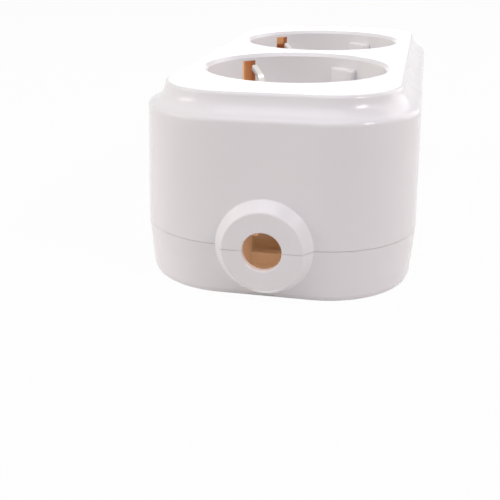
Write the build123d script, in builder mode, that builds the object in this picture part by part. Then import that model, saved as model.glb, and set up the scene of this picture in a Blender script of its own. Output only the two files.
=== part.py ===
from build123d import *
import os
from math import atan2, cos, degrees, radians, sin

# Extension socket block: a white two-part moulding with two earthed round-pin sockets in line.
# Millimetres. X is the width, Y the length with the cord entry at -Y, Z up.
# The origin is the centre of the face that the block rests on.

# Sockets
well_diameter = 39.5
well_depth = 17.5
well_gap = 6.5  # between the two wells, wall to wall
well_wall = 1.8
well_floor_thickness = 2.0
rim_bevel = 0.75
socket_turn = 44.3  # the pin line of each socket, from the X axis
pin_spacing = 19.0
pin_hole_diameter = 6.0
rib_width = 6.6
rib_depth = 2.55  # how far a guide rib stands out of the well's wall
rib_side = 3.0  # rib beside the pin line
rib_drop = 2.9  # rib top below the rim
rib_round = 0.6
window_width = 3.6
window_drop = 1.4  # top of the earth window below the rim
window_rise = 3.0  # foot of the earth window above the well's floor

# Housing
wall = 2.0
base_floor = 2.0
chamber_height = 18.0  # room for plug pins and contacts under the wells
side_margin = 8.65  # well to the outside of the long wall
entry_room = 13.45  # middle of the cord clamp to the outside of the end wall
corner_radius = 19.2
cover_draft = 0.85  # the cover's walls lean in by this much up to the cove
base_taper = 0.7  # the base's walls lean in by this much down to the floor
cove_drop = 4.15
cove_inset = 3.55
plateau_round = 0.7
shoulder_round = 1.1
bottom_bevel_height = 0.9
bottom_bevel_inset = 0.3
seam_gap = 0.06  # shadow gap at the parting line
seam_gap_depth = 0.3
tongue_height = 1.4
tongue_clearance = 0.15

# Cord entry
collar_diameter = 19.4
collar_face_diameter = 15.9
collar_length = 2.6
collar_rise = 1.0  # collar above the resting face
collar_root = 1.0  # collar sunk into the end wall
collar_wall = 1.4
collar_round = 0.5
cord_hole_diameter = 7.8
cord_hole_bevel = 0.2
cord_hole_bevel_angle = 45.0

# Cord clamp
cord_diameter = 7.0
saddle_thickness = 2.0
saddle_height = 2.4  # low rib under the cord
clamp_width = 5.0
clamp_thickness = 2.0
clamp_screw_spacing = 16.0
clamp_post_diameter = 6.0
clamp_post_rise = 0.8  # clamp posts above the cord's axis

# Screws, drawn at the root of the thread
screw_root_diameter = 2.4
screw_clearance = 0.1
screw_head_diameter = 5.2
screw_head_height = 2.0
screw_slot_width = 0.8
screw_slot_depth = 1.0
housing_screw_length = 16.0
clamp_screw_length = 7.0
head_clearance = 0.3
shank_clearance = 0.4
screw_bottom_gap = 0.5  # screw tip to the end of its hole
counterbore_depth = 6.0
boss_diameter = 7.0
post_wall = 1.1  # round the counterbore of a housing screw
boss_gap = 0.8  # boss to the inside of the corner wall
boss_bearing = 45.0  # boss from the centre of the corner's arc

# Contacts and busbars
strip = 0.8
contact_strip = 0.6
contact_height = 9.0
contact_drop = 2.5  # contact top below the well's floor
contact_pinch = 4.4  # gap at the narrowest, for a 4.8 mm pin
contact_mouth = 6.4
contact_reach = 3.4
contact_back = 3.6  # pin axis to the contact's back plate
contact_bend = 0.9
bar_height = 8.0
bar_drop = 5.0  # bar top below the well's floor
bar_slot_clearance = 0.1
post_offset = 5.3  # slotted posts either side of each contact
post_width = 6.0
post_thickness = 2.4
post_grip = 2.0  # how far a post reaches down past the bar's top edge
bar_overhang = 2.5
prop_clearance = 0.2
rivet_diameter = 2.0
rivet_clearance = 0.05
rivet_head_diameter = 3.4
rivet_head_height = 0.6

# Earth parts
earth_strip_width = 2.6
earth_eye_diameter = 8.0
earth_bar_width = 5.0
earth_arm_gap = 0.1  # the arm's bend starts this far outside the well's wall
earth_bend = 1.5
clip_reach = 6.45  # how far the clip bulges into the well
clip_bulge_drop = 8.4
clip_knee_reach = 4.65
clip_knee_drop = 4.4
clip_tip_reach = 1.85
clip_tip_drop = 2.75
clip_tip_width = 1.5
clip_neck_drop = 4.6  # foot of the narrow end
clip_flare_drop = 6.4  # full width from here down
clip_sags = (0.0, 0.8)  # how far down the clips of each socket are bent
clip_shoulder = 1.0  # where the arm turns in, above the window's foot
clip_tip_round = 0.65
earth_post_diameter = 8.0

# Terminals
terminal_length = 6.6
terminal_width = 7.0
terminal_slot = 2.8
terminal_clearance = 0.05
terminal_setback = 0.6  # terminal behind the cord clamp
terminal_gap = 0.3  # terminal to the first slotted post
wire_hole_diameter = 3.0
spigot_diameter = 3.0
spigot_swage = 0.4
terminal_bevel = 0.5
terminal_screw_length = 6.0

edge_tolerance = 0.01  # for picking edges by their length or height

# Derived sizes
well_radius = well_diameter / 2
socket_pitch = well_diameter + well_gap
socket_places = (-socket_pitch / 2, socket_pitch / 2)
pin_x = pin_spacing / 2 * cos(radians(socket_turn))
pin_y = pin_spacing / 2 * sin(radians(socket_turn))
first_post_front = -(socket_pitch / 2 + pin_y + post_offset + post_thickness / 2)
terminal_front = first_post_front - terminal_gap - terminal_length
clamp_y = terminal_front - terminal_setback - clamp_width / 2
body_length = 2 * (entry_room - clamp_y)
body_width = well_diameter + 2 * side_margin
chamber_top = base_floor + chamber_height
well_floor = chamber_top + well_floor_thickness
body_height = well_floor + well_depth
seam_height = collar_diameter / 2 + collar_rise
cove_foot = body_height - cove_drop
plateau_width = body_width - 2 * (cover_draft + cove_inset)
plateau_length = body_length - 2 * (cover_draft + cove_inset)
plateau_radius = corner_radius - cover_draft - cove_inset
cover_lean = degrees(atan2(cover_draft, cove_foot - seam_height))
base_lean = degrees(atan2(base_taper, seam_height))
bar_inside = pin_x + contact_back + contact_strip
bar_middle = bar_inside + strip / 2
bar_top = chamber_top - bar_drop
bar_bottom = bar_top - bar_height
contact_top = chamber_top - contact_drop
rivet_height = bar_bottom + bar_height / 2
screw_hole_radius = screw_root_diameter / 2 + screw_clearance
boss_reach = corner_radius - wall - boss_gap - boss_diameter / 2
boss_x = body_width / 2 - corner_radius + boss_reach * cos(radians(boss_bearing))
boss_y = body_length / 2 - corner_radius + boss_reach * sin(radians(boss_bearing))
boss_places = [(x, y) for x in (-boss_x, boss_x) for y in (-boss_y, boss_y)]
clamp_places = [(x, clamp_y) for x in (-clamp_screw_spacing / 2, clamp_screw_spacing / 2)]
clamp_axis = base_floor + saddle_height + cord_diameter / 2
clamp_seat = clamp_axis + clamp_post_rise
bar_front = terminal_front + terminal_length - terminal_slot
terminal_screw_y = terminal_front + (terminal_length - terminal_slot) / 2
earth_strap_bottom = chamber_top - strip
earth_bar_bottom = earth_strap_bottom - strip
earth_terminal_bottom = earth_bar_bottom - bar_height
spigot_y = terminal_front + terminal_length - spigot_diameter
sides = (1, -1)
poles = tuple(zip(("line", "neutral"), sides))
ends = (("front", 0), ("rear", 1))
well_places = [(0, y) for y in socket_places]
on_top = (Align.CENTER, Align.CENTER, Align.MIN)
hung = (Align.CENTER, Align.CENTER, Align.MAX)
turned_sockets = [Location((0, y, 0), (0, 0, socket_turn)) for y in socket_places]


def pole_contacts(side):
    """Y of the two pins of one pole, front socket first."""
    return [y + side * pin_y for y in socket_places]


def pole_posts(side):
    """X and Y of the slotted posts that hold one busbar."""
    steps = (-post_offset, post_offset)
    return [(side * bar_middle, y + step) for y in pole_contacts(side) for step in steps]


def housing_outline(inset=0.0, mode=Mode.ADD):
    """Plan of the housing at the parting line, moved in by inset."""
    RectangleRounded(body_width - 2 * inset, body_length - 2 * inset, corner_radius - inset, mode=mode)


def parting_outline():
    """Plan of housing and collar together at the parting line."""
    end = -body_length / 2
    housing_outline()
    Polygon(
        (-collar_diameter / 2, end + collar_root),
        (-collar_diameter / 2, end),
        (-collar_face_diameter / 2, end - collar_length),
        (collar_face_diameter / 2, end - collar_length),
        (collar_diameter / 2, end),
        (collar_diameter / 2, end + collar_root),
        align=None,
    )


def add_collar():
    """Conical collar round the cord hole, turned about the cord's axis."""
    end = -body_length / 2
    with BuildSketch(Plane.YZ) as profile:
        with BuildLine():
            Polyline(
                (end + collar_root, seam_height),
                (end + collar_root, seam_height + collar_diameter / 2),
                (end, seam_height + collar_diameter / 2),
                (end - collar_length, seam_height + collar_face_diameter / 2),
                (end - collar_length, seam_height),
                close=True,
            )
        make_face()
        fillet(profile.vertices().group_by(Axis.X)[0].sort_by(Axis.Y)[-1], collar_round)
    revolve(profile.sketch, axis=Axis((0, 0, seam_height), (0, 1, 0)))


def cut_cord_hole():
    """Hollow of the collar and the cord hole in its face, bevelled outside."""
    end = -body_length / 2
    inside = end - collar_length + collar_wall
    with BuildSketch(Plane.YZ) as hollow:
        with BuildLine():
            Polyline(
                (end + 2 * wall, seam_height),
                (end + 2 * wall, seam_height + collar_diameter / 2 - collar_wall),
                (end, seam_height + collar_diameter / 2 - collar_wall),
                (inside, seam_height + collar_face_diameter / 2 - collar_wall / 2),
                (inside, seam_height),
                close=True,
            )
        make_face()
    revolve(hollow.sketch, axis=Axis((0, 0, seam_height), (0, 1, 0)), mode=Mode.SUBTRACT)
    face = body_length / 2 + collar_length
    with BuildSketch(Plane.XZ.offset(face)) as mouth:
        with Locations((0, seam_height)):
            Circle(cord_hole_diameter / 2 + cord_hole_bevel)
    extrude(mouth.sketch, amount=-cord_hole_bevel, taper=cord_hole_bevel_angle, mode=Mode.SUBTRACT)
    with BuildSketch(Plane.XZ.offset(face)) as hole:
        with Locations((0, seam_height)):
            Circle(cord_hole_diameter / 2)
    extrude(hole.sketch, amount=-(collar_length + 2 * wall), mode=Mode.SUBTRACT)


def add_screws(places, seat, way, length):
    """Slotted screws with their heads bearing on z = seat and shanks going up (1) or down (-1)."""
    for x, y in places:
        with Locations(Plane((x, y, seat), z_dir=(0, 0, way))):
            Cylinder(screw_root_diameter / 2, length, align=on_top)
            Cylinder(screw_head_diameter / 2, screw_head_height, align=hung)
            with Locations((0, 0, -screw_head_height)):
                Box(
                    screw_head_diameter,
                    screw_slot_width,
                    screw_slot_depth,
                    align=on_top,
                    mode=Mode.SUBTRACT,
                )


def add_rivets(places, grip):
    """Rivets with two flat heads, each through a stack as thick as grip that starts at its place."""
    for place in places:
        with Locations(place):
            Cylinder(rivet_diameter / 2, grip, align=on_top)
            Cylinder(rivet_head_diameter / 2, rivet_head_height, align=hung)
            with Locations((0, 0, grip)):
                Cylinder(rivet_head_diameter / 2, rivet_head_height, align=on_top)


os.makedirs("parts", exist_ok=True)

# Lines that the top cover is built on
with BuildLine(Plane.XY.offset(body_height)) as plateau_edge:
    side_line = Line((plateau_width / 2, 0), (plateau_width / 2, plateau_length / 2 - plateau_radius))
    corner_arc = JernArc(side_line @ 1, (0, 1), plateau_radius, 90)
    Line(corner_arc @ 1, (0, plateau_length / 2))
    mirror(about=Plane.YZ)
    mirror(about=Plane.XZ)

with BuildSketch() as seam_core:
    parting_outline()
    offset(amount=-seam_gap_depth)

# Guide rib of a socket whose pin line is the X axis, rounded at its inner corner and along its top
with BuildPart() as guide_rib:
    rib_face = well_radius - rib_depth
    with BuildSketch():
        with Locations((rib_face, rib_side)):
            Rectangle(rib_depth + well_wall, rib_width, align=(Align.MIN, Align.MIN))
        Circle(well_radius + well_wall / 2, mode=Mode.INTERSECT)
    extrude(amount=well_depth - rib_drop)
    rib_corner = guide_rib.edges().filter_by(Axis.Z).group_by(Axis.X)[0].sort_by(Axis.Y)[0]
    fillet(rib_corner, rib_round)
    rib_top = guide_rib.faces().sort_by(Axis.Z)[-1].edges()
    fillet(rib_top.sort_by_distance((rib_face, rib_side, well_depth - rib_drop))[:3], rib_round)

# Top cover: drafted block with the cove swept round its plateau, hollowed, with wells and their fittings
with BuildPart() as top_cover:
    with BuildSketch(Plane.XY.offset(seam_height)):
        housing_outline()
    extrude(amount=body_height - seam_height, taper=cover_lean)
    with BuildSketch(Plane.XZ):
        with BuildLine():
            edge_x = plateau_width / 2
            cove = TangentArc((edge_x, body_height), (edge_x + cove_inset, cove_foot), tangent=(0, -1))
            Polyline(
                cove @ 1,
                (edge_x + cove_inset + wall, cove_foot),
                (edge_x + cove_inset + wall, body_height + wall),
                (edge_x, body_height + wall),
                cove @ 0,
            )
        make_face()
    sweep(path=plateau_edge.wire(), mode=Mode.SUBTRACT)
    fillet(top_cover.faces().sort_by(Axis.Z)[-1].edges(), plateau_round)
    shoulder = top_cover.edges().filter_by_position(
        Axis.Z, cove_foot - edge_tolerance, cove_foot + edge_tolerance
    )
    fillet(shoulder, shoulder_round)

    # Collar, parting line and its shadow gap
    add_collar()
    split(bisect_by=Plane.XY.offset(seam_height), keep=Keep.TOP)
    with BuildSketch(Plane.XY.offset(seam_height)):
        Rectangle(2 * body_width, 2 * body_length)
        add(seam_core.sketch_local, mode=Mode.SUBTRACT)
    extrude(amount=seam_gap, mode=Mode.SUBTRACT)

    # Hollow: full width up to the cove's foot, then narrower under the plateau
    with BuildSketch(Plane.XY.offset(seam_height)):
        housing_outline(wall)
    extrude(amount=cove_foot - wall - seam_height, taper=cover_lean, mode=Mode.SUBTRACT)
    with BuildSketch(Plane.XY.offset(cove_foot - wall)):
        RectangleRounded(plateau_width - 2 * wall, plateau_length - 2 * wall, plateau_radius - wall)
    extrude(amount=cove_drop, mode=Mode.SUBTRACT)
    with BuildSketch(Plane.XY.offset(seam_height)):
        housing_outline(wall / 2)
    extrude(amount=tongue_height + tongue_clearance, mode=Mode.SUBTRACT)

    # Screw bosses in the corners
    with BuildSketch(Plane.XY.offset(seam_height)):
        with Locations(*boss_places):
            Circle(boss_diameter / 2)
    extrude(amount=cove_foot - seam_height - wall / 2)
    with BuildSketch(Plane.XY.offset(seam_height)):
        with Locations(*boss_places):
            Circle(screw_hole_radius)
    extrude(amount=housing_screw_length, mode=Mode.SUBTRACT)

    # Wells with bevelled rims
    with BuildSketch(Plane.XY.offset(chamber_top)):
        with Locations(*well_places):
            Circle(well_radius + well_wall)
    extrude(amount=well_floor_thickness + well_depth)
    with BuildSketch(Plane.XY.offset(well_floor)):
        with Locations(*well_places):
            Circle(well_radius)
    extrude(amount=well_depth, mode=Mode.SUBTRACT)
    top_circles = top_cover.edges().filter_by(GeomType.CIRCLE).group_by(Axis.Z)[-1]
    chamfer(top_circles.sort_by(SortBy.RADIUS)[-len(well_places) :], rim_bevel)

    # Guide ribs, earth windows and pin holes, turned with each socket
    window_foot = well_floor + window_rise
    window_height = body_height - window_drop - window_foot
    with Locations(*turned_sockets):
        with Locations((0, 0, well_floor), Location((0, 0, well_floor), (0, 0, 180))):
            add(guide_rib.part)
        with Locations((0, well_radius, window_foot), (0, -well_radius, window_foot)):
            Box(window_width, 2 * (well_wall + wall), window_height, align=on_top, mode=Mode.SUBTRACT)
        with Locations((pin_spacing / 2, 0, well_floor), (-pin_spacing / 2, 0, well_floor)):
            Hole(pin_hole_diameter / 2, well_floor_thickness)

    # Slotted posts that hold the busbars' top edges, and recesses for the earth rivets
    for side in sides:
        with BuildSketch(Plane.XY.offset(bar_top - post_grip)):
            with Locations(*pole_posts(side)):
                Rectangle(post_width, post_thickness)
        extrude(amount=post_grip + bar_drop)
        with BuildSketch(Plane.XY.offset(bar_top - post_grip)):
            with Locations(*pole_posts(side)):
                Rectangle(strip + 2 * bar_slot_clearance, post_thickness)
        extrude(amount=post_grip, mode=Mode.SUBTRACT)
    with BuildSketch(Plane.XY.offset(chamber_top)):
        with Locations(*well_places):
            Circle(rivet_head_diameter / 2 + head_clearance)
    extrude(amount=rivet_head_height + prop_clearance, mode=Mode.SUBTRACT)
    cut_cord_hole()

top_cover.part.label = "top_cover"
export_step(top_cover.part, "parts/top_cover.step")

# Base cover: tray with the lower half of the collar, a tongue, the cord saddle, screw posts and props
with BuildPart() as base_cover:
    with BuildSketch(Plane.XY.offset(seam_height)):
        housing_outline()
    extrude(amount=-seam_height, taper=base_lean)
    underside = base_cover.faces().sort_by(Axis.Z)[0]
    chamfer(underside.edges(), bottom_bevel_inset, bottom_bevel_height, reference=underside)
    add_collar()
    split(bisect_by=Plane.XY.offset(seam_height), keep=Keep.BOTTOM)
    with BuildSketch(Plane.XY.offset(seam_height)):
        housing_outline(wall)
    extrude(amount=-(seam_height - base_floor), taper=base_lean, mode=Mode.SUBTRACT)
    with BuildSketch(Plane.XY.offset(seam_height)):
        housing_outline(wall / 2 + tongue_clearance)
        housing_outline(wall, mode=Mode.SUBTRACT)
    extrude(amount=tongue_height)
    cut_cord_hole()

    # Low cord saddle between two clamp posts
    with Locations((0, clamp_y, base_floor / 2)):
        Box(clamp_screw_spacing, saddle_thickness, saddle_height + base_floor / 2, align=on_top)
    with BuildSketch(Plane.XY.offset(base_floor / 2)):
        with Locations(*clamp_places):
            Circle(clamp_post_diameter / 2)
    extrude(amount=clamp_seat - base_floor / 2)
    with BuildSketch(Plane.XY.offset(clamp_seat)):
        with Locations(*clamp_places):
            Circle(screw_hole_radius)
    extrude(amount=clamp_thickness - clamp_screw_length - screw_bottom_gap, mode=Mode.SUBTRACT)

    # Posts for the housing screws, counterbored from below
    counterbore_radius = screw_head_diameter / 2 + head_clearance
    with BuildSketch(Plane.XY.offset(base_floor / 2)):
        with Locations(*boss_places):
            Circle(counterbore_radius + post_wall)
    extrude(amount=seam_height - base_floor / 2)
    with Locations(*[Plane((x, y, 0), z_dir=(0, 0, -1)) for x, y in boss_places]):
        CounterBoreHole(
            screw_root_diameter / 2 + shank_clearance,
            counterbore_radius,
            counterbore_depth,
            seam_height,
        )

    # Props under the busbars, and posts under the earth bar
    for side in sides:
        with BuildSketch(Plane.XY.offset(base_floor / 2)):
            with Locations(*pole_posts(side), (side * bar_middle, bar_front + terminal_slot)):
                Rectangle(post_width, post_thickness)
        extrude(amount=bar_bottom - prop_clearance - base_floor / 2)
    with BuildSketch(Plane.XY.offset(base_floor / 2)):
        with Locations(*well_places):
            Circle(earth_post_diameter / 2)
    extrude(amount=earth_bar_bottom - prop_clearance - base_floor / 2)
    with BuildSketch(Plane.XY.offset(earth_bar_bottom)):
        with Locations(*well_places):
            Circle(rivet_head_diameter / 2 + head_clearance)
    extrude(amount=-(rivet_head_height + 2 * prop_clearance), mode=Mode.SUBTRACT)

base_cover.part.label = "base_cover"
export_step(base_cover.part, "parts/base_cover.step")

# Busbars on edge, their contacts and their wire terminals
for pole, side in poles:
    bar_rear = max(y for x, y in pole_posts(side)) + bar_overhang
    with BuildPart() as busbar:
        with BuildSketch(Plane.YZ.offset(side * bar_inside)):
            with Locations((bar_front, bar_bottom)):
                Rectangle(bar_rear - bar_front, bar_height, align=(Align.MIN, Align.MIN))
            with Locations(*[(y, rivet_height) for y in pole_contacts(side)]):
                Circle(rivet_diameter / 2 + rivet_clearance, mode=Mode.SUBTRACT)
        extrude(amount=side * strip)
    busbar.part.label = f"{pole}_busbar"
    export_step(busbar.part, f"parts/{pole}_busbar.step")

    for end, socket in ends:
        pin = (side * pin_x, pole_contacts(side)[socket], contact_top - contact_height)
        with BuildPart() as contact:
            with BuildSketch(Plane(pin, x_dir=(side, 0, 0), z_dir=(0, 0, 1))):
                with BuildLine():
                    FilletPolyline(
                        (-contact_reach, contact_mouth / 2),
                        (0, contact_pinch / 2),
                        (contact_back, contact_mouth / 2),
                        (contact_back, -contact_mouth / 2),
                        (0, -contact_pinch / 2),
                        (-contact_reach, -contact_mouth / 2),
                        radius=contact_bend,
                    )
                    offset(amount=contact_strip, side=Side.LEFT)
                make_face()
            extrude(amount=contact_height)
            with Locations(Plane((side * bar_inside, pin[1], rivet_height), z_dir=(side, 0, 0))):
                Hole(rivet_diameter / 2 + rivet_clearance, contact_back)
        contact.part.label = f"{pole}_contact_{end}"
        export_step(contact.part, f"parts/{pole}_contact_{end}.step")

    with BuildPart() as terminal:
        with BuildSketch(Plane.XY.offset(bar_bottom)):
            with Locations((side * bar_middle, terminal_front)):
                Rectangle(terminal_width, terminal_length, align=(Align.CENTER, Align.MIN))
            with Locations((side * bar_middle, bar_front)):
                Rectangle(
                    strip + 2 * terminal_clearance,
                    terminal_slot,
                    align=(Align.CENTER, Align.MIN),
                    mode=Mode.SUBTRACT,
                )
        extrude(amount=bar_height)
        chamfer(terminal.faces().sort_by(Axis.Y)[0].edges(), terminal_bevel)
        with Locations(Plane((side * bar_middle, terminal_front, rivet_height), z_dir=(0, -1, 0))):
            Hole(wire_hole_diameter / 2, terminal_length - terminal_slot - terminal_bevel)
        with Locations(Plane((side * bar_middle, terminal_screw_y, bar_bottom), z_dir=(0, 0, -1))):
            Hole(screw_hole_radius, terminal_screw_length + screw_bottom_gap)
    terminal.part.label = f"{pole}_terminal"
    export_step(terminal.part, f"parts/{pole}_terminal.step")

# Rivets that fix the contacts to their busbars
with BuildPart() as contact_rivets:
    for side in sides:
        back = side * (bar_inside - contact_strip)
        add_rivets(
            [Plane((back, y, rivet_height), z_dir=(side, 0, 0)) for y in pole_contacts(side)],
            contact_strip + strip,
        )
contact_rivets.part.label = "contact_rivets"
export_step(contact_rivets.part, "parts/contact_rivets.step")

# Earth brackets: a strap under each well, with arms up past its wall and clips in through its windows
turn = radians(socket_turn)
arm = well_radius + well_wall + earth_arm_gap + earth_bend
bulge = well_radius - clip_reach + strip
knee = well_radius - clip_knee_reach
tip = well_radius - clip_tip_reach
for end, socket in ends:
    centre = (0, socket_places[socket], 0)
    clip_top = body_height - clip_sags[socket]
    clip_half = [
        (tip, clip_top - clip_tip_drop),
        (knee, clip_top - clip_knee_drop),
        (bulge, clip_top - clip_bulge_drop),
        (arm, window_foot + clip_shoulder),
        (arm, earth_strap_bottom),
    ]
    with BuildPart() as earth_bracket:
        with BuildSketch(Plane(centre, x_dir=(-sin(turn), cos(turn), 0), z_dir=(cos(turn), sin(turn), 0))):
            with BuildLine():
                FilletPolyline(*clip_half, *[(-x, z) for x, z in reversed(clip_half)], radius=earth_bend)
                offset(amount=strip, side=Side.RIGHT)
            make_face()
        extrude(amount=earth_strip_width / 2, both=True)
        with BuildSketch(Plane(centre, x_dir=(cos(turn), sin(turn), 0), z_dir=(sin(turn), -cos(turn), 0))):
            for side in sides:
                Polygon(
                    (side * clip_tip_width / 2, body_height),
                    (side * clip_tip_width / 2, clip_top - clip_neck_drop),
                    (side * earth_strip_width / 2, clip_top - clip_flare_drop),
                    (side * earth_strip_width, clip_top - clip_flare_drop),
                    (side * earth_strip_width, body_height),
                    align=None,
                )
        extrude(amount=well_radius, both=True, mode=Mode.SUBTRACT)
        strip_edges = [e for e in earth_bracket.edges() if abs(e.length - strip) < edge_tolerance]
        fillet(ShapeList(strip_edges).group_by(Axis.Z)[-1], clip_tip_round)
        with Locations((0, socket_places[socket], earth_strap_bottom)):
            Cylinder(earth_eye_diameter / 2, strip, align=on_top)
        with Locations((0, socket_places[socket], chamber_top)):
            Hole(rivet_diameter / 2 + rivet_clearance, strip)
    earth_bracket.part.label = f"earth_bracket_{end}"
    export_step(earth_bracket.part, f"parts/earth_bracket_{end}.step")

# Earth bar from the earth terminal to the rear bracket
with BuildPart() as earth_bar:
    bar_tail = socket_places[1] + earth_eye_diameter / 2
    with BuildSketch(Plane.XY.offset(earth_bar_bottom)):
        with Locations((0, terminal_front + terminal_bevel)):
            Rectangle(
                earth_bar_width,
                bar_tail - terminal_front - terminal_bevel,
                align=(Align.CENTER, Align.MIN),
            )
        with Locations(*well_places):
            Circle(rivet_diameter / 2 + rivet_clearance, mode=Mode.SUBTRACT)
        with Locations((0, spigot_y)):
            Circle(spigot_diameter / 2 + rivet_clearance, mode=Mode.SUBTRACT)
    extrude(amount=strip)
earth_bar.part.label = "earth_bar"
export_step(earth_bar.part, "parts/earth_bar.step")

with BuildPart() as earth_rivets:
    add_rivets([Plane((x, y, earth_bar_bottom)) for x, y in well_places], 2 * strip)
earth_rivets.part.label = "earth_rivets"
export_step(earth_rivets.part, "parts/earth_rivets.step")

# Earth terminal, hung from the bar by a swaged spigot
with BuildPart() as earth_terminal:
    with BuildSketch(Plane.XY.offset(earth_terminal_bottom)):
        with Locations((0, terminal_front)):
            Rectangle(terminal_width, terminal_length, align=(Align.CENTER, Align.MIN))
    extrude(amount=bar_height)
    chamfer(earth_terminal.faces().sort_by(Axis.Y)[0].edges(), terminal_bevel)
    with Locations((0, spigot_y, earth_bar_bottom)):
        Cylinder(spigot_diameter / 2, strip + spigot_swage, align=on_top)
    with Locations(Plane((0, terminal_front, earth_bar_bottom - bar_height / 2), z_dir=(0, -1, 0))):
        Hole(wire_hole_diameter / 2, terminal_length - terminal_slot - terminal_bevel)
    with Locations(Plane((0, terminal_screw_y, earth_terminal_bottom), z_dir=(0, 0, -1))):
        Hole(screw_hole_radius, terminal_screw_length + screw_bottom_gap)
earth_terminal.part.label = "earth_terminal"
export_step(earth_terminal.part, "parts/earth_terminal.step")

# Cord clamp: an arched bar over the cord, with a screw through each ear
with BuildPart() as cord_clamp:
    clamp_length = clamp_screw_spacing + clamp_post_diameter
    with BuildSketch(Plane.XZ.offset(-clamp_y - clamp_width / 2)):
        with Locations((0, clamp_seat)):
            Rectangle(clamp_length, clamp_thickness, align=(Align.CENTER, Align.MIN))
        with Locations((0, clamp_axis)):
            Circle(cord_diameter / 2 + clamp_thickness)
            Circle(cord_diameter / 2, mode=Mode.SUBTRACT)
        with Locations((0, clamp_seat)):
            Rectangle(clamp_length, clamp_length, align=(Align.CENTER, Align.MAX), mode=Mode.SUBTRACT)
    extrude(amount=clamp_width)
    ear_edges = cord_clamp.edges().filter_by(Axis.Z)
    fillet(ear_edges.group_by(Axis.X)[0] + ear_edges.group_by(Axis.X)[-1], clamp_thickness)
    with Locations(*[(x, y, clamp_seat + clamp_thickness) for x, y in clamp_places]):
        Hole(screw_root_diameter / 2 + shank_clearance, clamp_thickness)
cord_clamp.part.label = "cord_clamp"
export_step(cord_clamp.part, "parts/cord_clamp.step")

# Screws
with BuildPart() as terminal_screws:
    pole_places = [(side * bar_middle, terminal_screw_y) for side in sides]
    add_screws(pole_places, bar_bottom, 1, terminal_screw_length)
    add_screws([(0, terminal_screw_y)], earth_terminal_bottom, 1, terminal_screw_length)
terminal_screws.part.label = "terminal_screws"
export_step(terminal_screws.part, "parts/terminal_screws.step")

with BuildPart() as clamp_screws:
    add_screws(clamp_places, clamp_seat + clamp_thickness, -1, clamp_screw_length)
clamp_screws.part.label = "clamp_screws"
export_step(clamp_screws.part, "parts/clamp_screws.step")

with BuildPart() as housing_screws:
    add_screws(boss_places, counterbore_depth, 1, housing_screw_length)
housing_screws.part.label = "housing_screws"
export_step(housing_screws.part, "parts/housing_screws.step")
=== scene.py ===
# %% [markdown]
# # A white extension socket block
# The block is two white mouldings, a top cover with two plug wells and a base, around brass bars and
# spring clips. Every solid comes from CAD with its true size, so Blender isn't needed for the shapes.
# What is left for Blender is the finish of each piece, the glow of the plastic, and the light.
# We load the imported solids first and keep their box.

# %% Load the solids
from math import cos, pi, radians, sin, sqrt

import bmesh
import bpy
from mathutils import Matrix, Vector
from mathutils.bvhtree import BVHTree


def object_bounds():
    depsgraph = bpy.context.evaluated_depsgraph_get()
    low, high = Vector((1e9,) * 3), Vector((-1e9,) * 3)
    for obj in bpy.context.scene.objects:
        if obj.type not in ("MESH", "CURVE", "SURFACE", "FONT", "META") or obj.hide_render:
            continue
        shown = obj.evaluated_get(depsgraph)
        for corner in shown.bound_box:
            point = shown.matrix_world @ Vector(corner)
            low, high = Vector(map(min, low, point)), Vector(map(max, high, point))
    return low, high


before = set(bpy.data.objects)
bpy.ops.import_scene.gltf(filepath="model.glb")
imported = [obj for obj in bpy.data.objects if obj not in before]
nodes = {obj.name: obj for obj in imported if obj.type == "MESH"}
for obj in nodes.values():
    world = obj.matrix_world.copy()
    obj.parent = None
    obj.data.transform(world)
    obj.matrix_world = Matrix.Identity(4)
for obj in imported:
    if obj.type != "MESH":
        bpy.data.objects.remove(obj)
cad_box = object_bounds()
MM = 0.001
cad_size = cad_box[1] - cad_box[0]
print("solids:", len(nodes), "size in mm:", [round(side / MM, 1) for side in cad_size])

# %% [markdown]
# ## The camera
# The picture is taken from close by, so the near well looks much larger than the far one. A camera can
# be set by eye, but here two well rims of a known size are in view. Place, direction and focal length
# were fitted so that the rims, the plateau and the parting line fall on the picture's own lines.
# The sensor shift stays at zero, because other views keep it.

# %% Place the camera
CAMERA_PLACE = Vector((26.71, -197.56, 67.60)) * MM
CAMERA_TURN = radians(12.04)  # left of the block's long axis
CAMERA_TILT = radians(22.21)  # below the horizon
FOCAL_LENGTH_PX = 786.9
PICTURE_PX = 500
CAMERA_NEAR = 5 * MM  # nothing closer than this is drawn

scene = bpy.context.scene
camera_data = bpy.data.cameras.new("camera")
camera_data.lens = FOCAL_LENGTH_PX / PICTURE_PX * camera_data.sensor_width
camera_data.clip_start = CAMERA_NEAR
camera = bpy.data.objects.new("camera", camera_data)
camera.location = CAMERA_PLACE
camera.rotation_euler = (pi / 2 - CAMERA_TILT, 0, CAMERA_TURN)
scene.collection.objects.link(camera)
scene.camera = camera
scene.view_settings.view_transform = "Standard"
print("lens in mm:", round(camera_data.lens, 2))

# %% [markdown]
# ## Helpers for node materials
# A material is a small graph. Writing each link by hand hides what the graph does, so one helper adds a
# node and fills its inputs: a plain value is set on the socket, and an output socket is linked to it.
# Numbers that are the same all over a surface go straight onto the shader's own sockets.

# %% Nodes and materials


def add_node(tree, kind, settings=None, **inputs):
    """A node of that kind; settings are its properties, inputs its sockets by name, or i0, i1 and so on."""
    node = tree.nodes.new("ShaderNode" + kind)
    for name, value in (settings or {}).items():
        setattr(node, name, value)
    for name, value in inputs.items():
        key = int(name[1:]) if name[0] == "i" and name[1:].isdigit() else name.replace("_", " ")
        if isinstance(value, bpy.types.NodeSocket):
            tree.links.new(value, node.inputs[key])
        else:
            node.inputs[key].default_value = value
    return node


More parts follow.
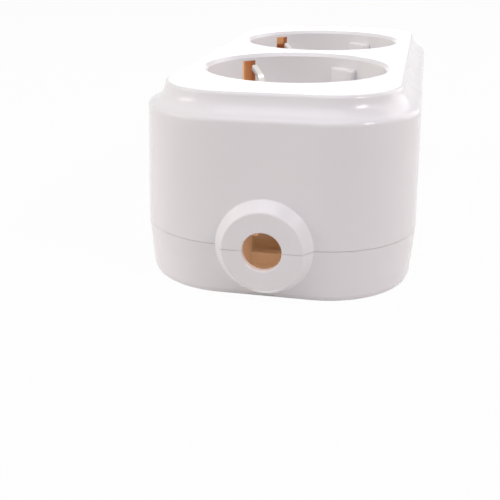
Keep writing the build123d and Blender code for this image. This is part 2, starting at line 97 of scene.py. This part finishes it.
def start_material(name):
    """An empty node material with its tree and the place on the object as a socket."""
    material = bpy.data.materials.new(name)
    material.use_nodes = True
    tree = material.node_tree
    tree.nodes.clear()
    place = add_node(tree, "TexCoord").outputs["Object"]
    return material, tree, place


def finish_material(tree, shader):
    """Links the shader to a new output."""
    add_node(tree, "OutputMaterial", Surface=shader.outputs[0])


def dress(node_names, material):
    """Puts the material on CAD nodes."""
    for name in node_names:
        nodes[name].data.materials.clear()
        nodes[name].data.materials.append(material)
    print(material.name, "on", len(node_names), "nodes")


print("nodes to dress:", ", ".join(sorted(nodes)))

# %% Noise and colours
NOISE_MIDDLE = (0.3, 0.7)  # most of the noise lies in this range
WHITE = (1, 1, 1, 1)


def noise_at(tree, place, size, detail=2.0, stretch=(1, 1, 1)):
    """Noise with spots about as large as size, in metres, stretched along the axes."""
    scaled = add_node(tree, "Mapping", Vector=place, Scale=[1 / (size * s) for s in stretch])
    return add_node(tree, "TexNoise", Vector=scaled.outputs[0], Scale=1.0, Detail=detail).outputs[0]


def spread(tree, factor, low, high):
    """The factor's middle range, spread from low to high."""
    least, most = NOISE_MIDDLE
    ranged = add_node(tree, "MapRange", Value=factor, From_Min=least, From_Max=most, To_Min=low, To_Max=high)
    return ranged.outputs[0]


def between(tree, factor, first, second):
    """A colour between two, by the factor."""
    mixed = add_node(tree, "Mix", {"data_type": "RGBA"}, Factor=factor)
    mixed.inputs[6].default_value = (*first, 1)
    mixed.inputs[7].default_value = (*second, 1)
    return mixed.outputs[2]


print("noise is spread from", NOISE_MIDDLE)

# %% [markdown]
# ## White moulded plastic
# Both covers and the cord clamp are white plastic with a semi-gloss face. A white diffuse shader alone
# looks like plaster, and it leaves the closed inside black. Real white plastic lets some light through,
# red more than blue, so the inside glows amber where it shows in the windows and the cord hole.
# Subsurface scattering would do for the skin, but Cycles drops it after the first bounce, and the glow
# needs many bounces. So a share of the light passes through the skin by a Translucent shader instead.
# A faint unevenness in colour and gloss keeps the skin from looking computed, and the Bevel node softens
# the moulded edges.

# %% White plastic
PLASTIC_WHITE = ((0.920, 0.905, 0.905), (0.900, 0.897, 0.895))
# painted glow and shade: the white plastic of a well wall's inner faces gets this dark amber colour in place
# of light
WELL_WALL_PAINTED_GLOW = ((0.30, 0.13, 0.07), (0.28, 0.12, 0.06))  # where it's thick and lit from within
PLASTIC_PATCH = 30 * MM
PLASTIC_FLOW = 4 * MM
PLASTIC_ROUGHNESS = (0.17, 0.23)
PLASTIC_IOR = 1.5
PLASTIC_EDGE = 0.15 * MM
INNER_SHARE = 1.0  # of the light, out of an outer wall into the closed inside
WELL_SHARE = 0.24  # out of a well's wall
INNER_TINT = (1.0, 0.56, 0.27, 1)
WELL_TINT = (1.0, 0.44, 0.18, 1)  # a well's wall is thicker, so less green and blue get through


def make_plastic(name, colours, tint, share=None):
    """Plastic that lets a share of the light through, or, with no share, only light from within the wall."""
    material, tree, place = start_material(name)
    patches = noise_at(tree, place, PLASTIC_PATCH)
    flow = noise_at(tree, place, PLASTIC_FLOW, 3.0)
    colour = between(tree, spread(tree, patches, 0.0, 1.0), *colours)
    soft_edge = add_node(tree, "Bevel", Radius=PLASTIC_EDGE).outputs[0]
    skin = add_node(
        tree,
        "BsdfPrincipled",
        Base_Color=colour,
        Roughness=spread(tree, flow, *PLASTIC_ROUGHNESS),
        IOR=PLASTIC_IOR,
        Normal=soft_edge,
    )
    through = add_node(tree, "BsdfTranslucent", Color=tint)
    if share is None:
        share = add_node(tree, "NewGeometry").outputs["Backfacing"]
    mixed = add_node(tree, "MixShader", i0=share, i1=skin.outputs[0], i2=through.outputs[0])
    finish_material(tree, mixed)
    return material


plastic_names = ["top_cover", "base_cover", "cord_clamp"]
dress(plastic_names, make_plastic("white_plastic_moulded", PLASTIC_WHITE, WHITE))

# %% [markdown]
# ## The closed inside
# The light that has passed a wall leaves it on the inner side, so only faces inside the closed housing
# get the amber share. Picking them by hand would break when the CAD changes, so rays decide: a face is
# inside when it can't see straight up out of the block and nearly every ray from it ends on a cover.
# Most of those rays must also be long, or the narrow gap along the parting line would glow as well.
# Where the covers lie on each other, a point just off the face is within the other one, and the ray along
# the normal meets that cover from behind. Such faces are left out too.
# Most light comes in through the outer walls, which have open air behind them. The other faces inside the
# cover are the wells' walls, thick and in shade, so they pass little. Their dark amber base colour is
# painted glow and shade on plastic that is white. In the base they are the floor and the cord saddle, which
# stay white and throw the light about.

# %% Covers and rays
COVER_NAMES = ["top_cover", "base_cover"]
RAY_COUNT = 24
OPEN_RAYS = 4  # a face with more rays to the open is outside
LONG_RAY = 1.0 * MM
LIFT = 0.05 * MM
UP_LEAN = 0.2  # how far the ray that looks for the sky leans off the face
GOLDEN_ANGLE = pi * (3 - sqrt(5))

corners, faces = [], []
for name in COVER_NAMES:
    mesh = nodes[name].data
    faces += [[len(corners) + i for i in polygon.vertices] for polygon in mesh.polygons]
    corners += [vertex.co.copy() for vertex in mesh.vertices]
covers = BVHTree.FromPolygons(corners, faces)

rays = []
for i in range(RAY_COUNT):
    height = (i + 0.5) / RAY_COUNT
    reach = sqrt(1 - height * height)
    rays.append(Vector((reach * cos(GOLDEN_ANGLE * i), reach * sin(GOLDEN_ANGLE * i), height)))
print("faces of the covers:", len(faces), "rays from each:", len(rays))

# %% Tests for one face
UP = Vector((0, 0, 1))


def sees_sky(place, normal):
    """True where nothing stands over a place on a face with that normal."""
    return covers.ray_cast(place + normal * LIFT, UP + normal * UP_LEAN)[0] is None


def closed_in(polygon):
    """True where the face can't see the sky and nearly all its rays end on a cover, most of them far off."""
    start = polygon.center + polygon.normal * LIFT
    if sees_sky(polygon.center, polygon.normal):
        return False
    met_normal = covers.ray_cast(start, polygon.normal)[1]
    if met_normal is not None and met_normal.dot(polygon.normal) > 0:
        return False
    turn = polygon.normal.to_track_quat("Z", "Y")
    lengths = [covers.ray_cast(start, turn @ ray)[3] for ray in rays]
    open_rays = lengths.count(None)
    long_rays = sum(length > LONG_RAY for length in lengths if length is not None)
    return open_rays <= OPEN_RAYS and long_rays > RAY_COUNT / 2


def on_outer_wall(polygon):
    """True where the wall behind the face has the open air on its other side, and isn't the floor."""
    behind = -polygon.normal
    far_side = covers.ray_cast(polygon.center + behind * LIFT, behind)[0]
    if far_side is None or not sees_sky(far_side, behind):
        return False
    return covers.ray_cast(far_side + behind * LIFT, behind)[0] is None


lid = max(nodes["top_cover"].data.polygons, key=lambda polygon: polygon.center.z)
print("the top of the cover counts as closed in:", closed_in(lid))

# %% Slots of the faces
inside_plastics = [
    make_plastic("white_plastic_outer_wall", PLASTIC_WHITE, INNER_TINT, INNER_SHARE),
    # the well walls' dark amber base colour is painted glow and shade
    make_plastic("well_wall_painted_glow", WELL_WALL_PAINTED_GLOW, WELL_TINT, WELL_SHARE),
]
OUTSIDE, OUTER_WALL, WELL_WALL = range(3)
OTHER_INSIDE = {"top_cover": WELL_WALL, "base_cover": OUTSIDE}  # faces inside that are on no outer wall


def slot_of(polygon, other_inside):
    """The material slot of a face."""
    if not closed_in(polygon):
        return OUTSIDE
    return OUTER_WALL if on_outer_wall(polygon) else other_inside


for name, other_inside in OTHER_INSIDE.items():
    mesh = nodes[name].data
    for plastic in inside_plastics:
        mesh.materials.append(plastic)
    slots = [slot_of(polygon, other_inside) for polygon in mesh.polygons]
    mesh.polygons.foreach_set("material_index", slots)
    print(name, "faces outside, on outer walls, on well walls:", [slots.count(i) for i in range(3)])

# %% [markdown]
# ## Metal inside
# The earth clips are bright plated spring strip, rolled along its length, so their gloss is streaked.
# Bars, contacts and terminals are stamped brass, a little dulled in patches. The screws are zinc plated.
# One function makes all three, since they differ only in colours, streaks and roughness.

# %% Metals
NICKEL = ((0.80, 0.78, 0.74), (0.70, 0.68, 0.65))
BRASS = ((0.83, 0.63, 0.31), (0.66, 0.47, 0.22))
ZINC = ((0.70, 0.71, 0.73), (0.60, 0.61, 0.61))
METAL_PATCH = 5 * MM
STREAK_BUMP = 0.1
STREAK_DEPTH = 0.02 * MM


def make_metal(name, colours, spot, stretch, roughness):
    """Metal between two colours, with streaks that start from spots of that size."""
    material, tree, place = start_material(name)
    patches = noise_at(tree, place, METAL_PATCH, 3.0)
    streaks = noise_at(tree, place, spot, 2.0, stretch)
    bump = add_node(tree, "Bump", Height=streaks, Strength=STREAK_BUMP, Distance=STREAK_DEPTH)
    shader = add_node(
        tree,
        "BsdfPrincipled",
        Base_Color=between(tree, spread(tree, patches, 0.0, 1.0), *colours),
        Metallic=1.0,
        Roughness=spread(tree, streaks, *roughness),
        Normal=bump.outputs[0],
    )
    finish_material(tree, shader)
    return material


clip_names = ["earth_bracket_front", "earth_bracket_rear"]
screw_names = ["terminal_screws", "clamp_screws", "housing_screws"]
brass_names = [name for name in sorted(nodes) if name not in clip_names + screw_names + plastic_names]
dress(clip_names, make_metal("nickel_spring_strip", NICKEL, 0.15 * MM, (1, 1, 12), (0.16, 0.28)))
dress(brass_names, make_metal("stamped_brass", BRASS, 0.3 * MM, (1, 6, 1), (0.25, 0.42)))
dress(screw_names, make_metal("zinc_plated_steel", ZINC, 0.2 * MM, (1, 1, 1), (0.24, 0.38)))

# %% [markdown]
# ## Floor and white surround
# The block stands in an all-white set. More lamp power would clip the white plastic, so the surround is
# made white in another way: rays from the camera see a white world and a floor that is partly its own
# white, while the light that falls on the block comes from a dim dome and the lamps. Mirrored rays see the
# white too, or the clips would reflect a dark room. Rays that have passed through the plastic count as
# transmitted, and they stay out of it, or the white surround would light the inside of the block.
# The rest of the floor is an ordinary pale surface, so the shadow stays.

# %% Floor
FLOOR_RADIUS = 4.0
FLOOR_SIDES = 96
FLOOR_CLEARANCE = 0.02 * MM  # keeps the floor and the underside from lying in one plane
FLOOR_COLOUR = (0.88, 0.86, 0.86, 1)
FLOOR_GRAIN = 2 * MM
FLOOR_ROUGHNESS = (0.2, 0.4)
FLOOR_WHITE_SHARE = 0.96


def sees_white(tree):
    """1 for rays from the camera and for mirrored rays, 0 for the others."""
    path = add_node(tree, "LightPath").outputs
    seen, mirrored = path["Is Camera Ray"], path["Is Glossy Ray"]
    return add_node(tree, "Math", {"operation": "MAXIMUM"}, i0=seen, i1=mirrored).outputs[0]


def make_floor_material():
    """Pale and matt, and mostly white for the rays that see white."""
    material, tree, place = start_material("pale_floor")
    grain = noise_at(tree, place, FLOOR_GRAIN)
    lit = add_node(tree, "BsdfDiffuse", Color=FLOOR_COLOUR, Roughness=spread(tree, grain, *FLOOR_ROUGHNESS))
    white = add_node(tree, "Emission", Color=WHITE, Strength=1.0)
    share = add_node(tree, "Math", {"operation": "MULTIPLY"}, i0=sees_white(tree), i1=FLOOR_WHITE_SHARE)
    mixed = add_node(tree, "MixShader", i0=share.outputs[0], i1=lit.outputs[0], i2=white.outputs[0])
    finish_material(tree, mixed)
    return material


floor_mesh = bpy.data.meshes.new("floor")
shape = bmesh.new()
bmesh.ops.create_circle(shape, cap_ends=True, radius=FLOOR_RADIUS, segments=FLOOR_SIDES)
shape.to_mesh(floor_mesh)
shape.free()
floor = bpy.data.objects.new("floor", floor_mesh)
floor_mesh.materials.append(make_floor_material())
floor.location.z = -FLOOR_CLEARANCE
scene.collection.objects.link(floor)
print("floor radius in m:", FLOOR_RADIUS)

# %% World
DOME_COLOUR = (1.0, 0.95, 0.95, 1)
DOME_LEVEL = 0.1

world = bpy.data.worlds.new("white_surround")
scene.world = world
world.use_nodes = True
sky = world.node_tree
sky.nodes.clear()
dome = add_node(sky, "Background", Color=DOME_COLOUR, Strength=DOME_LEVEL)
white_wall = add_node(sky, "Background", Color=WHITE, Strength=1.0)
chosen = add_node(sky, "MixShader", i0=sees_white(sky), i1=dome.outputs[0], i2=white_wall.outputs[0])
add_node(sky, "OutputWorld", Surface=chosen.outputs[0])
print("dome level:", DOME_LEVEL)

# %% [markdown]
# ## Studio light
# Area lamps are used because their size sets how soft a shadow and how broad a highlight is. Softboxes
# above, on the left and behind on the right give the soft shading. The left one is kept out of mirrored
# rays, and a low, wide panel there makes the soft patch in the cove. The small lamp on the right makes the
# one sharp glint there, and the one beside it the spark on the earth clip. The plateau is seen at a low
# angle, where plastic mirrors most, so a panel far behind turns it white without more light on it.
# To find the powers, lamps were rendered alone and their sum was fitted to the shades in the picture. Then
# each was trimmed by comparing renders with it.

# %% Lamps
LAMP_AIM = Vector((0, 0, 20)) * MM
LAMP_WHITE = (1.0, 1.0, 1.0)


def add_softbox(name, place, width, height, watts, colour, mirrored=True):
    """An area lamp of that size at a place, both in millimetres, turned to the block."""
    lamp = bpy.data.lights.new(name, "AREA")
    lamp.shape = "RECTANGLE"
    lamp.size = width * MM
    lamp.size_y = height * MM
    lamp.energy = watts
    lamp.color = colour
    box = bpy.data.objects.new(name, lamp)
    box.location = Vector(place) * MM
    box.rotation_euler = (LAMP_AIM - box.location).to_track_quat("-Z", "Y").to_euler()
    box.visible_camera = False
    box.visible_glossy = mirrored
    scene.collection.objects.link(box)
    print(name, "at", place, "mm,", watts, "W")


add_softbox("top_softbox", (0, -180, 620), 450, 550, 1.28, (0.84, 0.86, 0.98))
add_softbox("left_softbox", (-640, -190, 360), 800, 800, 2.6, (1.0, 0.945, 0.89), mirrored=False)
add_softbox("left_panel", (-640, -190, 375), 360, 160, 0.68, (1.0, 0.95, 0.92))
add_softbox("right_rear_softbox", (560, 500, 350), 700, 700, 2.2, (1.0, 0.94, 0.93))
add_softbox("right_lamp", (515, -286, 467), 120, 120, 1.42, (1.0, 0.91, 0.92))
add_softbox("side_lamp", (600, -20, 500), 250, 250, 0.25, LAMP_WHITE)
add_softbox("rear_panel", (-165, 900, 230), 420, 340, 0.3, LAMP_WHITE)
